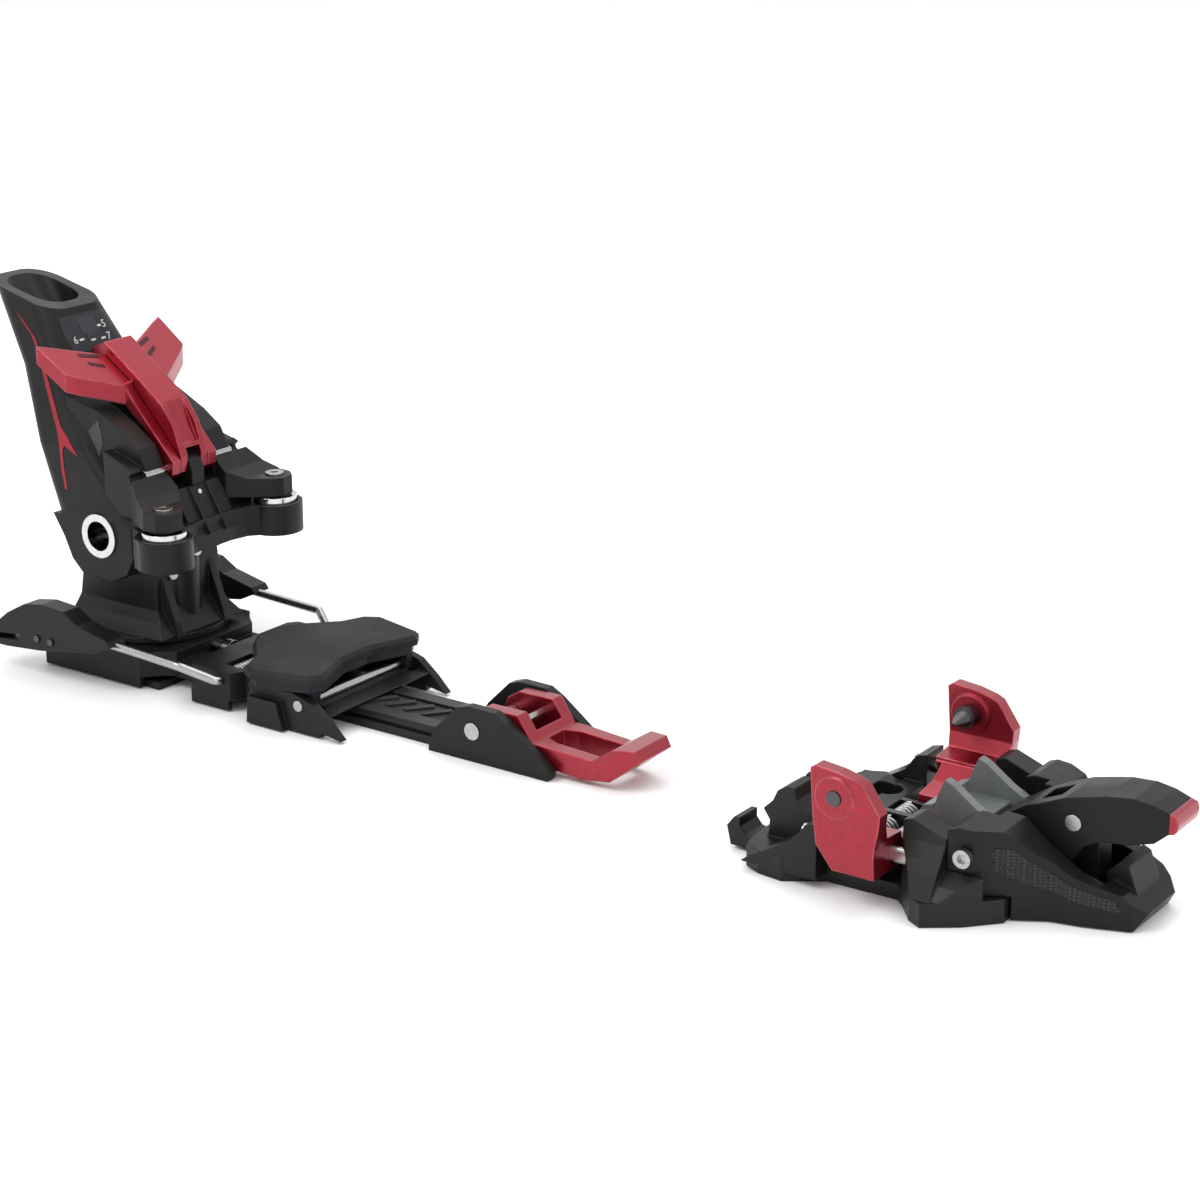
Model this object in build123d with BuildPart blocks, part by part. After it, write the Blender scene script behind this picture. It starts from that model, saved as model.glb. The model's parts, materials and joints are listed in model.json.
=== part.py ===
from build123d import *

import os
from math import atan2, degrees

# Touring ski binding: a toe unit with two pin wings and a heel unit on a rail.
# X runs along the ski towards the tip, Y across it to the left, Z up from the ski's top.
# The origin is on the ski's top surface, midway between the two toe pins.

# ---- driving dimensions, mm
pin_height = 34.2
pin_tip_y = 29.0
wing_axle_y = 35.3
wing_axle_z = 16.1
wing_axle_r = 2.5
toe_bolt_x = 17.0
toe_bolt_y = 19.0
bolt_hole_r = 2.6
bolt_head_r = 4.8

lever_pivot_x = 61.0
lever_pivot_z = 28.6
lever_pin_r = 2.6

walk_pivot_x = -159.4
walk_pivot_z = 11.1
rail_half_width = 12.7
rail_top = 7.0
heel_bolt_x = (-344.0, -304.0)
heel_bolt_y = 19.0

tower_x = -323.0
axle_z = 55.2
spindle_r = 6.0
tube_r = 7.0
tube_bore_r = 5.6
tube_flange_r = 8.3

roller_x = -288.0
roller_y = 29.7
roller_r = 8.2
roller_low = 57.2
roller_high = 63.8

aid_pivot_x = -304.0
aid_pivot_z = 80.0
aid_pin_r = 1.6

brake_pivot_x = -264.0
brake_pivot_z = 11.6
wire_r = 1.6
pedal_pivot_x = -225.7
pedal_pivot_z = 10.4
pedal_pin_r = 2.0

running_gap = 0.05
fixed_gap = 0.02

parts = []


# ---- drawing helpers, used inside a part's block
def side_plate(points, y_low, y_high, mode=Mode.ADD):
    """A plate whose outline lies in the XZ plane, from one Y to another."""
    with BuildSketch(Plane.XZ.offset(-y_high)) as outline:
        with BuildLine():
            Polyline(*points, close=True)
        make_face()
    extrude(outline.sketch, amount=y_high - y_low, mode=mode)


def plan_plate(points, z_low, z_high, mode=Mode.ADD):
    """A plate whose outline lies in the XY plane, from one Z to another."""
    with BuildSketch(Plane.XY.offset(z_low)) as outline:
        with BuildLine():
            Polyline(*points, close=True)
        make_face()
    extrude(outline.sketch, amount=z_high - z_low, mode=mode)


def front_plate(points, x_low, x_high, mode=Mode.ADD):
    """A plate whose outline lies in the YZ plane, from one X to another."""
    with BuildSketch(Plane.YZ.offset(x_low)) as outline:
        with BuildLine():
            Polyline(*points, close=True)
        make_face()
    extrude(outline.sketch, amount=x_high - x_low, mode=mode)


def symmetric_plan(half):
    """Close a half outline, given at +Y, with its mirror image."""
    return list(half) + [(x, -y) for x, y in reversed(half)]


def symmetric_front(half):
    """Close a half front outline, given at +Y, with its mirror image."""
    return list(half) + [(-y, z) for y, z in reversed(half)]


def box_between(x_range, y_range, z_range, mode=Mode.ADD):
    """A box given by its limits along the three axes."""
    with Locations((sum(x_range) / 2, sum(y_range) / 2, sum(z_range) / 2)):
        Box(x_range[1] - x_range[0], y_range[1] - y_range[0], z_range[1] - z_range[0], mode=mode)


def rod_x(y, z, radius, x_low, x_high, mode=Mode.ADD):
    with Locations(Location(((x_low + x_high) / 2, y, z), (0, 90, 0))):
        Cylinder(radius, x_high - x_low, mode=mode)


def rod_y(x, z, radius, y_low, y_high, mode=Mode.ADD):
    with Locations(Location((x, (y_low + y_high) / 2, z), (90, 0, 0))):
        Cylinder(radius, y_high - y_low, mode=mode)


def rod_z(x, y, radius, z_low, z_high, mode=Mode.ADD):
    with Locations((x, y, (z_low + z_high) / 2)):
        Cylinder(radius, z_high - z_low, mode=mode)


def coil(mean_radius, wire_radius, length, turns, start, direction):
    """A round-wire compression spring along a direction."""
    with BuildPart() as spring:
        with BuildLine() as path:
            Helix(pitch=length / turns, height=length, radius=mean_radius, center=start, direction=direction)
        with BuildSketch(Plane(origin=path.line @ 0, z_dir=path.line % 0)):
            Circle(wire_radius)
        sweep(path=path.line)
    return spring.part


def keep(part, label):
    """Name a finished piece and put it on the list to be written out."""
    part.label = label
    parts.append(part)


# =====================================================================
# toe unit
# =====================================================================
base_half_plan = [
    (-38, 30),
    (-36, 37),
    (-30, 40),
    (-21, 41),
    (-9, 33.2),
    (15, 32.6),
    (18, 35),
    (25, 43.5),
    (30, 46.3),
    (40, 39),
    (49, 29),
    (49, 12),
]
rear_ear = [(-36, 3), (-22, 11.8), (-17, 15), (-13, 20.5), (-9, 21.5), (-9, 3)]
front_ear = [(17.4, 3), (17.4, 27.6), (20.4, 28.6), (31.8, 24.4), (31.8, 3)]
skirt_front = [(29.6, 2), (29.6, 24), (34.0, 23.4), (40.0, 14.0), (45.6, 4.6), (46.4, 2)]
low_skirt_front = [(29.6, 2), (29.6, 7.6), (34.2, 7.6), (34.2, 15.0), (40.0, 11.6), (45.6, 4.6), (46.4, 2)]
skirt_plan = [(17.4, 34.6), (20.0, 37.6), (25, 43.5), (30, 46.3), (40, 39), (46, 32.6)]
low_hook = [
    (-47.5, 1.2),
    (-49.0, 7.4),
    (-46.4, 10.8),
    (-44.3, 10.9),
    (-44.3, 8.0),
    (-42.2, 5.6),
    (-39.0, 4.8),
    (-35.9, 5.6),
    (-33.6, 8.4),
    (-31.0, 12.0),
    (-22.0, 12.6),
    (-17.0, 11.0),
    (-17.0, 3.0),
    (-38.0, 0.6),
]
crampon_claw = [
    (-47.5, 1.2),
    (-49.0, 7.4),
    (-46.4, 10.8),
    (-44.3, 10.9),
    (-44.3, 8.0),
    (-42.2, 5.6),
    (-39.0, 4.8),
    (-35.9, 5.6),
    (-33.6, 8.4),
    (-33.2, 13.0),
    (-35.6, 16.4),
    (-32.2, 19.8),
    (-30.6, 23.4),
    (-27.4, 25.6),
    (-24.6, 25.4),
    (-23.6, 21.6),
    (-20.0, 17.4),
    (-17.0, 12.0),
    (-17.0, 3.0),
    (-38.0, 0.6),
]

with BuildPart() as toe_skirts:
    for side in (-1, 1):
        front_plate([(side * y, z) for y, z in skirt_front], 17.4, 31.8)
        front_plate([(side * y, z) for y, z in low_skirt_front], 31.8, 46)
    plan_plate(symmetric_plan(skirt_plan), 0, 30, mode=Mode.INTERSECT)

with BuildPart() as toe_base:
    plan_plate(symmetric_plan(base_half_plan), 0, 7.6)
    add(toe_skirts.part)
    for side in (-1, 1):
        side_plate(rear_ear, *sorted((side * 29.5, side * 40.6)))
        side_plate(front_ear, *sorted((side * 25.5, side * 34.6)))
    # the crampon's tall claw stands on the right side only, with a low hook opposite
    side_plate(crampon_claw, -28.0, -17.5)
    side_plate(low_hook, 17.5, 28.0)
    # bridge that carries the boot guide
    box_between((18.5, 31), (-29.6, 29.6), (7.6, 19.4))
    # low wall across the back of the spring tray
    box_between((-17, -9.5), (-29.6, 29.6), (7.6, 11.5))
    # spring tray, open to the wings on both sides
    box_between((-9.4, 18.4), (-15.5, 15.5), (4.2, 30), mode=Mode.SUBTRACT)
    box_between((-8.4, 17.2), (-60, 60), (5.2, 12), mode=Mode.SUBTRACT)
    # ramp cut under the lever's heel
    box_between((31.2, 60), (-13.4, 13.4), (5.0, 30), mode=Mode.SUBTRACT)
    for side in (-1, 1):
        rod_x(side * wing_axle_y, wing_axle_z, wing_axle_r + fixed_gap, -30, 24.6, mode=Mode.SUBTRACT)
        rod_x(side * wing_axle_y, wing_axle_z, 4.4, -40, -15.6, mode=Mode.SUBTRACT)
    for x in (-toe_bolt_x, toe_bolt_x):
        for y in (-toe_bolt_y, toe_bolt_y):
            rod_z(x, y, bolt_hole_r, -1, 40, mode=Mode.SUBTRACT)
            rod_z(x, y, bolt_head_r, 5.2, 40, mode=Mode.SUBTRACT)
keep(toe_base.part, "toe_base")

# ---- plastic cowl in front of the wings, with the lever's channel down its middle
cowl_side = [
    (32, 14.8),
    (32, 27.6),
    (35, 28.8),
    (47, 28.4),
    (56, 21.5),
    (66, 15.4),
    (80, 11.2),
    (86.5, 5.6),
    (83.5, 0.4),
    (50, 0.4),
    (50, 7.9),
    (39, 7.9),
]
cowl_half_plan = [(32, 34), (40, 33), (48, 27.6), (60, 20.6), (70, 18.3), (83, 13.6), (87, 9)]
with BuildPart() as toe_cowl:
    side_plate(cowl_side, -36, 36)
    plan_plate(symmetric_plan(cowl_half_plan), 0, 40, mode=Mode.INTERSECT)
    box_between((31, 74), (-13.0, 13.0), (5.4, 40), mode=Mode.SUBTRACT)
    box_between((31, 40.5), (-17.2, 17.2), (19.6, 40), mode=Mode.SUBTRACT)
    # upright spur at the front
    side_plate([(72, 4), (72, 15), (76, 19.2), (78.6, 18), (82, 9.5), (82, 4)], -8, 8)
    # three ribs on the channel's floor
    for step in range(3):
        box_between((62.0 + 3.6 * step, 63.8 + 3.6 * step), (-9, 9), (5.0, 8.6))
    # lug in the channel that carries the lever's pin
    side_plate([(54, 5.2), (55.2, 29.0), (58.4, 32.0), (63.6, 32.0), (66.8, 29.0), (68, 5.2)], -4.5, 4.5)
    rod_y(lever_pivot_x, lever_pivot_z, lever_pin_r + fixed_gap, -5, 5, mode=Mode.SUBTRACT)
    for side in (-1, 1):
        rod_y(38, 20.4, 1.6, *sorted((side * 20, side * 40)), mode=Mode.SUBTRACT)
keep(toe_cowl.part, "toe_cowl")

# ---- translucent boot guide: a saddle with two horns
horn = [
    (15.6, 20.0),
    (17.0, 27.6),
    (19.4, 33.4),
    (22.0, 32.4),
    (26.0, 29.6),
    (30.6, 26.4),
    (38.5, 22.4),
    (38.5, 20.0),
]
with BuildPart() as boot_guide:
    box_between((11, 31), (-12.8, 12.8), (19.45, 21.6))
    for side in (-1, 1):
        side_plate(horn, *sorted((side * 9.3, side * 12.8)))
    # low step in front of the spring tray
    side_plate([(11, 21.4), (12.4, 23.8), (15.4, 24.6), (17, 21.4)], -12.8, 12.8)
keep(boot_guide.part, "boot_guide")

# ---- steel axles the wings turn on
with BuildPart() as wing_axles:
    for side in (-1, 1):
        rod_x(side * wing_axle_y, wing_axle_z, wing_axle_r, -16.2, 24.4)
keep(wing_axles.part, "wing_axles")

with BuildPart() as cowl_screws:
    for side in (-1, 1):
        rod_y(38, 20.4, 1.55, *sorted((side * 20.5, side * 35.4)))
        rod_y(38, 20.4, 2.9, *sorted((side * 34.3, side * 36.6)))
        rod_y(38, 20.4, 1.4, *sorted((side * 35.4, side * 38)), mode=Mode.SUBTRACT)
keep(cowl_screws.part, "cowl_screws")

# ---- six wing springs, three on each side of a divider
wing_coils = []
for x in (-4.4, 4.4, 13.2):
    for start_y in (-11.5, 1.9):
        wing_coils.append(coil(3.1, 0.65, 9.6, 5, (x, start_y, 8.9), (0, 1, 0)))
keep(Compound(children=wing_coils), "toe_springs")

with BuildPart() as spring_divider:
    box_between((-9.0, 17.9), (-1.1, 1.1), (4.3, 13.2))
    box_between((-9.0, 17.9), (-14.4, -12.4), (4.3, 12.0))
    box_between((-9.0, 17.9), (12.4, 14.4), (4.3, 12.0))
    box_between((-9.0, 17.9), (-14.4, 14.4), (4.3, 4.9))
keep(spring_divider.part, "spring_divider")

# ---- wings
wing_side = [
    (-8.6, 42.2),
    (-6.8, 43.4),
    (1.0, 42.6),
    (7.0, 41.2),
    (9.6, 40.0),
    (15.6, 31.5),
    (15.2, 27.0),
    (14.2, 20.6),
    (14.6, 11.0),
    (0.0, 11.0),
    (-5.6, 18.4),
    (-7.4, 27.0),
]
wing_front = [
    (41.2, 44),
    (46.0, 43.4),
    (46.2, 25.0),
    (47.0, 18.0),
    (46.6, 11.0),
    (40.6, 10.0),
    (29.6, 10.4),
    (29.6, 21.6),
    (39.0, 22.4),
    (41.2, 27.0),
]
for side, name in ((1, "left"), (-1, "right")):
    with BuildPart() as wing:
        side_plate(wing_side, *sorted((side * 29.0, side * 48.0)))
        front_plate([(side * y, z) for y, z in wing_front], -12, 20, mode=Mode.INTERSECT)
        # arm that reaches in to the springs
        side_plate(
            [(-4.5, 10.6), (-3.5, 20.5), (12.5, 20.5), (14.0, 10.6)],
            *sorted((side * 15.2, side * 30.0)),
        )
        above_arm = [(15.2, 10.6), (15.2, 14.2), (24, 16.0), (30, 20.6), (30, 23), (14, 23)]
        front_plate([(side * y, z) for y, z in above_arm], -10, 20, mode=Mode.SUBTRACT)
        # round boss that holds the pin
        rod_y(0, pin_height, 6.6, *sorted((side * 40.0, side * 46.6)))
        rod_x(side * wing_axle_y, wing_axle_z, wing_axle_r + running_gap, -20, 30, mode=Mode.SUBTRACT)
        rod_y(0, pin_height, 2.4 + fixed_gap, *sorted((side * 38.0, side * 50.0)), mode=Mode.SUBTRACT)
    keep(wing.part, f"wing_{name}")

    with BuildPart() as pin:
        rod_y(0, pin_height, 2.4, *sorted((side * 36.0, side * 44.5)))
        rod_y(0, pin_height, 3.7, *sorted((side * 36.0, side * 39.9)))
        tip_plane = Plane(origin=(0, side * 36.0, pin_height), z_dir=(0, -side, 0))
        with BuildSketch(tip_plane) as thick_end:
            Circle(2.9)
        with BuildSketch(tip_plane.offset(36.0 - pin_tip_y)) as thin_end:
            Circle(0.6)
        loft([thick_end.sketch.face(), thin_end.sketch.face()])
    keep(pin.part, f"toe_pin_{name}")

    with BuildPart() as plug:
        rod_y(0, pin_height, 2.4, *sorted((side * 44.6, side * 47.0)))
    keep(plug.part, f"pin_plug_{name}")

# ---- toe lever, with its heel running down into the cowl's channel
lever_side = [
    (35.0, 21.0),
    (36.0, 24.4),
    (45.2, 30.4),
    (58.0, 36.0),
    (70.8, 39.2),
    (79.0, 40.0),
    (85.0, 39.2),
    (90.0, 37.6),
    (90.0, 31.0),
    (86.0, 27.4),
    (78.0, 25.0),
    (69.5, 24.4),
    (64.5, 21.4),
    (59.5, 13.5),
    (51.0, 9.0),
    (42.0, 11.0),
]
lever_half_plan = [(34, 8.8), (45, 8.8), (50, 10.5), (66, 10.0), (78, 8.8), (91, 8.0)]
with BuildPart() as toe_lever:
    side_plate(lever_side, -12, 12)
    plan_plate(symmetric_plan(lever_half_plan), 0, 60, mode=Mode.INTERSECT)
    # slot that straddles the cowl's lug
    box_between((48, 74), (-4.9, 4.9), (0, 34.5), mode=Mode.SUBTRACT)
    rod_y(lever_pivot_x, lever_pivot_z, lever_pin_r + running_gap, -20, 20, mode=Mode.SUBTRACT)
keep(toe_lever.part, "toe_lever")

with BuildPart() as lever_cap:
    side_plate([(90.05, 31.0), (90.05, 37.6), (92.2, 37.0), (93.0, 34.4), (92.2, 31.6)], -7.9, 7.9)
    chamfer(lever_cap.faces().sort_by(Axis.X)[-1].edges(), 0.5)
keep(lever_cap.part, "lever_cap")

with BuildPart() as lever_pin:
    rod_y(lever_pivot_x, lever_pivot_z, lever_pin_r, -10.4, 10.4)
keep(lever_pin.part, "lever_pin")

# =====================================================================
# heel rail and the lever that slides the heel back for walking
# =====================================================================
with BuildPart() as heel_rail:
    box_between((-352, -176), (-rail_half_width, rail_half_width), (0, rail_top))
    for x in heel_bolt_x:
        box_between((x - 6.5, x + 6.5), (-27, 27), (0, 2.8))
    # grooves along both sides for the carriage's lips
    for side in (-1, 1):
        near, far = sorted((side * 11.2, side * 14))
        box_between((-353, -175), (near, far), (3.0, 4.6), mode=Mode.SUBTRACT)
    # recess for the toothed strip
    box_between((-350, -180), (-6.6, 6.6), (5.2, 9), mode=Mode.SUBTRACT)
    for x in heel_bolt_x:
        for y in (-heel_bolt_y, heel_bolt_y):
            rod_z(x, y, bolt_hole_r, -1, 5, mode=Mode.SUBTRACT)
keep(heel_rail.part, "heel_rail")

with BuildPart() as rack_strip:
    box_between((-349.9, -180.1), (-6.5, 6.5), (5.22, 6.0))
    with BuildSketch(Plane.XY.offset(6.0)) as teeth:
        for tooth in range(20):
            with Locations((-344 + 8.2 * tooth, 0)):
                with Locations(Location((0, 0, 0), (0, 0, -38))):
                    Rectangle(2.6, 11.0)
    extrude(teeth.sketch, amount=0.9)
keep(rack_strip.part, "rack_strip")

cheek = [
    (-178.6, 0),
    (-178.6, 4.0),
    (-175.5, 9.0),
    (-166.0, 18.4),
    (-161.5, 19.8),
    (-150.0, 19.6),
    (-145.0, 17.0),
    (-126.4, 3.4),
    (-127.5, 0),
]
with BuildPart() as lever_block:
    box_between((-175.95, -150), (-17, 17), (0, 4.4))
    for side in (-1, 1):
        side_plate(cheek, *sorted((side * 13.1, side * 17.0)))
    rod_y(walk_pivot_x, walk_pivot_z, 2.5 + fixed_gap, -18, 18, mode=Mode.SUBTRACT)
    for side in (-1, 1):
        rod_y(walk_pivot_x, walk_pivot_z, 3.2, *sorted((side * 16.0, side * 18)), mode=Mode.SUBTRACT)
    box_between((-180, -175.9), (-12.8, 12.8), (-1, 8), mode=Mode.SUBTRACT)
keep(lever_block.part, "lever_block")

with BuildPart() as walk_pin:
    rod_y(walk_pivot_x, walk_pivot_z, 2.5, -16.4, 16.4)
    for side in (-1, 1):
        rod_y(walk_pivot_x, walk_pivot_z, 3.1, *sorted((side * 16.05, side * 17.4)))
keep(walk_pin.part, "walk_pin")

fork_side = [
    (-164.6, 11.0),
    (-162.6, 15.6),
    (-157.5, 18.8),
    (-143.0, 19.0),
    (-137.0, 10.4),
    (-113.0, 9.2),
    (-104.5, 14.6),
    (-97.0, 15.2),
    (-94.8, 11.6),
    (-106.0, 2.8),
    (-117.0, 1.4),
    (-139.0, 3.6),
    (-149.0, 6.2),
    (-159.4, 5.9),
    (-163.2, 7.6),
]
with BuildPart() as walk_lever:
    side_plate(fork_side, -12.7, 12.7)
    plan_plate(
        symmetric_plan([(-165, 12.7), (-130, 12.7), (-106, 11.6), (-94, 9.0)]), 0, 30, mode=Mode.INTERSECT
    )
    box_between((-170, -139), (-7.4, 7.4), (-1, 30), mode=Mode.SUBTRACT)
    finger_hole = [(-136, 4.4), (-131, 6.8), (-113, 6.8), (-108, 4.6)]
    plan_plate(symmetric_plan(finger_hole), -1, 30, mode=Mode.SUBTRACT)
    rod_y(walk_pivot_x, walk_pivot_z, 2.5 + running_gap, -14, 14, mode=Mode.SUBTRACT)
    rod_y(-147.0, 13.6, 1.5 + fixed_gap, -14, 14, mode=Mode.SUBTRACT)
keep(walk_lever.part, "walk_lever")

with BuildPart() as fork_pin:
    rod_y(-147.0, 13.6, 1.5, -12.4, 12.4)
keep(fork_pin.part, "fork_pin")

# =====================================================================
# carriage that slides on the rail
# =====================================================================
carriage_half_plan = [(-356, 27), (-353, 30.3), (-304, 30.3), (-300, 25.5), (-294, 20.5), (-294, 12)]
with BuildPart() as carriage:
    plan_plate(symmetric_plan(carriage_half_plan), 4.4, 13.9)
    plan_plate(symmetric_plan([(-295, 21.4), (-281.2, 21.4)]), 4.4, 9.6)
    for side in (-1, 1):
        near, far = sorted((side * 27.6, side * 30.3))
        box_between((-353, -304), (near, far), (0.5, 6))
        near, far = sorted((side * 11.6, side * 16.0))
        box_between((-353, -296), (near, far), (3.25, 4.5))
    # tunnel for the rail
    box_between((-360, -280), (-12.95, 12.95), (4.35, 7.3), mode=Mode.SUBTRACT)
    box_between((-360, -280), (-11.5, 11.5), (0, 7.3), mode=Mode.SUBTRACT)
    rod_z(tower_x, 0, spindle_r + fixed_gap, 8.5, 20, mode=Mode.SUBTRACT)
    # pocket and bore for the length screw
    box_between((-294.2, -281), (-4.4, 4.4), (7.35, 20), mode=Mode.SUBTRACT)
    rod_x(0, 10.9, 2.2 + fixed_gap, -313, -290, mode=Mode.SUBTRACT)
keep(carriage.part, "carriage")

with BuildPart() as length_screw:
    rod_x(0, 10.9, 2.2, -312.5, -288.0)
    rod_x(0, 10.9, 3.4, -288.0, -284.6)
    box_between((-285.6, -284.0), (-2.6, 2.6), (10.4, 11.4), mode=Mode.SUBTRACT)
keep(length_screw.part, "length_screw")

with BuildPart() as swivel_spindle:
    rod_z(tower_x, 0, spindle_r, 8.6, 38)
keep(swivel_spindle.part, "swivel_spindle")

# ---- brake bracket in front of the carriage
bracket_half_plan = [(-281, 26), (-278, 29.3), (-260, 29.3), (-256.5, 24), (-248, 26)]
skirt_side = [
    (-248, 0.5),
    (-249, 14.8),
    (-229, 14.8),
    (-219, 12.0),
    (-212, 6.4),
    (-206.5, 1.0),
    (-215.5, 2.6),
    (-216, 0.5),
]
with BuildPart() as brake_bracket:
    plan_plate(symmetric_plan(bracket_half_plan), 4.4, 14.9)
    box_between((-252, -221), (-28.5, 28.5), (7.4, 9.4))
    for side in (-1, 1):
        side_plate(skirt_side, *sorted((side * 28.0, side * 31.2)))
        side_plate([(-279, 0.5), (-279, 6), (-261, 6), (-261, 0.5)], *sorted((side * 27.4, side * 29.3)))
        side_plate(
            [(-248, 0.5), (-247, 10.6), (-234, 10.6), (-231, 0.5)],
            *sorted((side * 31.0, side * 34.0)),
        )
    # tunnel for the rail
    box_between((-285, -200), (-12.95, 12.95), (0, 7.35), mode=Mode.SUBTRACT)
    # nose that slopes down over the rail
    side_plate([(-222, 7.4), (-222, 9.4), (-214, 7.9), (-214, 7.4)], -27.9, 27.9)
    rod_y(brake_pivot_x, brake_pivot_z, wire_r + running_gap, -40, 40, mode=Mode.SUBTRACT)
    # slots for the brake springs, open at the top
    for side in (-1, 1):
        near, far = sorted((side * 8.5, side * 22.5))
        box_between((brake_pivot_x - 4.2, brake_pivot_x + 4.2), (near, far), (8.2, 20), mode=Mode.SUBTRACT)
        box_between((-243, -219), sorted((side * 23.6, side * 27.99)), (6, 16), mode=Mode.SUBTRACT)
    rod_y(pedal_pivot_x, pedal_pivot_z, pedal_pin_r + fixed_gap, -40, 40, mode=Mode.SUBTRACT)
keep(brake_bracket.part, "brake_bracket")

with BuildPart() as pedal_pin:
    rod_y(pedal_pivot_x, pedal_pivot_z, pedal_pin_r, -31.6, 31.6)
keep(pedal_pin.part, "pedal_pin")

brake_coils = []
for side in (-1, 1):
    start_y = 9.6 if side > 0 else -21.4
    brake_coils.append(coil(2.75, 0.55, 11.8, 8, (brake_pivot_x, start_y, brake_pivot_z), (0, 1, 0)))
keep(Compound(children=brake_coils), "brake_springs")

# ---- brake pedal
pad_half_plan = [
    (-268.0, 0),
    (-268.0, 5.0),
    (-262.5, 13.5),
    (-252.5, 24.0),
    (-249.0, 33.0),
    (-243.0, 36.4),
    (-221.0, 31.0),
    (-217.8, 26.0),
    (-222.0, 14.0),
    (-224.2, 8.0),
    (-224.2, 0),
]
plate_half_plan = [(x + (1.2 if x < -240 else -1.4), max(0, y - 1.4)) for x, y in pad_half_plan]
with BuildPart() as pedal_pad:
    plan_plate(symmetric_plan(pad_half_plan[1:-1]), 18.4, 22.0)
    chamfer(pedal_pad.faces().sort_by(Axis.Z)[-1].edges(), 1.3)
keep(pedal_pad.part, "pedal_pad")

with BuildPart() as pedal_plate:
    plan_plate(symmetric_plan(plate_half_plan[1:-1]), 15.2, 18.4)
    for side in (-1, 1):
        side_plate(
            [(-240, 15.4), (-230.2, 8.2), (-227.5, 6.6), (-223.8, 6.6), (-221.6, 8.6), (-221.2, 15.4)],
            *sorted((side * 24.0, side * 27.6)),
        )
    rod_y(pedal_pivot_x, pedal_pivot_z, pedal_pin_r + running_gap, -40, 40, mode=Mode.SUBTRACT)
keep(pedal_plate.part, "pedal_plate")

# ---- brake arms: one bent steel wire with a plastic end on each side
with BuildPart() as brake_wire:
    with BuildLine() as wire_path:
        FilletPolyline(
            (-330, -38.6, 19.6),
            (-276, -38.6, 17.2),
            (brake_pivot_x, -31.4, brake_pivot_z),
            (brake_pivot_x, 31.4, brake_pivot_z),
            (-276, 38.6, 17.2),
            (-330, 38.6, 19.6),
            radius=3.0,
        )
    with BuildSketch(Plane(origin=wire_path.line @ 0, z_dir=wire_path.line % 0)):
        Circle(wire_r)
    sweep(path=wire_path.line)
keep(brake_wire.part, "brake_wire")

arm_side = [
    (-369.5, 12.2),
    (-367.0, 16.4),
    (-358.5, 23.0),
    (-349.5, 27.8),
    (-340.0, 29.4),
    (-329.0, 28.6),
    (-322.0, 24.6),
    (-307.0, 21.4),
    (-305.4, 19.2),
    (-313.0, 15.6),
    (-326.0, 13.6),
    (-342.0, 11.0),
    (-360.0, 9.4),
    (-367.5, 9.4),
]
for side, name in ((1, "left"), (-1, "right")):
    with BuildPart() as arm:
        side_plate(arm_side, *sorted((side * 34.9, side * 43.2)))
        with Locations(Location((-330, side * 38.6, 19.6), (0, degrees(atan2(54, -2.4)), 0))):
            Cylinder(wire_r + fixed_gap, 60, mode=Mode.SUBTRACT)
        side_plate(
            [(-364, 11.9), (-364, 14.1), (-353, 15.3), (-353, 13.1)],
            *sorted((side * 34, side * 44)),
            mode=Mode.SUBTRACT,
        )
        for x in (-343.0, -336.0):
            rod_y(x, 15.6, 1.3 + fixed_gap, *sorted((side * 42.55, side * 44)), mode=Mode.SUBTRACT)
    keep(arm.part, f"brake_arm_{name}")

with BuildPart() as arm_rivets:
    for side in (-1, 1):
        near, far = sorted((side * 42.6, side * 43.9))
        rod_y(-343.0, 15.6, 1.3, near, far)
        rod_y(-336.0, 15.6, 1.3, near, far)
keep(arm_rivets.part, "arm_rivets")

# =====================================================================
# tower that swivels on the spindle
# =====================================================================
tower_side = [
    (-349.0, 16.8),
    (-345.8, 27.0),
    (-343.4, 40.0),
    (-338.0, axle_z),
    (-308.0, axle_z),
    (-306.5, 40.0),
    (-306.5, 26.0),
    (-300.0, 16.8),
]
tower_half_front = [(22.0, 16.8), (18.6, 22.0), (16.8, 26.0), (16.8, 80.0)]
with BuildPart() as tower:
    side_plate(tower_side, -24, 24)
    front_plate(symmetric_front(tower_half_front), -352, -296, mode=Mode.INTERSECT)
    rod_y(tower_x, axle_z, 15.0, -16.8, 16.8)
    rod_z(tower_x, 0, 26.0, 14.3, 16.8)
    rod_z(-311.0, 0, 8.0, 16.0, 43.5)
    # raking ribs on both sides of the front boss
    for side in (-1, 1):
        side_plate(
            [(-330, 16), (-312, 40), (-306.6, 40), (-300, 22), (-299, 16)],
            *sorted((side * 11.0, side * 14.0)),
        )
    rod_y(tower_x, axle_z, tube_r + running_gap, -20, 20, mode=Mode.SUBTRACT)
    rod_z(tower_x, 0, spindle_r + running_gap, 10, 38.4, mode=Mode.SUBTRACT)
    rod_z(tower_x, 0, 9.2, 20.0, 36.0, mode=Mode.SUBTRACT)
    for y in (-9.0, 4.0):
        rod_x(y, 39.0 if y < 0 else 45.0, 2.3 + fixed_gap, -312.0, -290, mode=Mode.SUBTRACT)
keep(tower.part, "tower")

swivel_coil = coil(7.7, 0.9, 13.0, 4, (tower_x, 0, 21.4), (0, 0, 1))
keep(swivel_coil, "swivel_spring")

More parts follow.
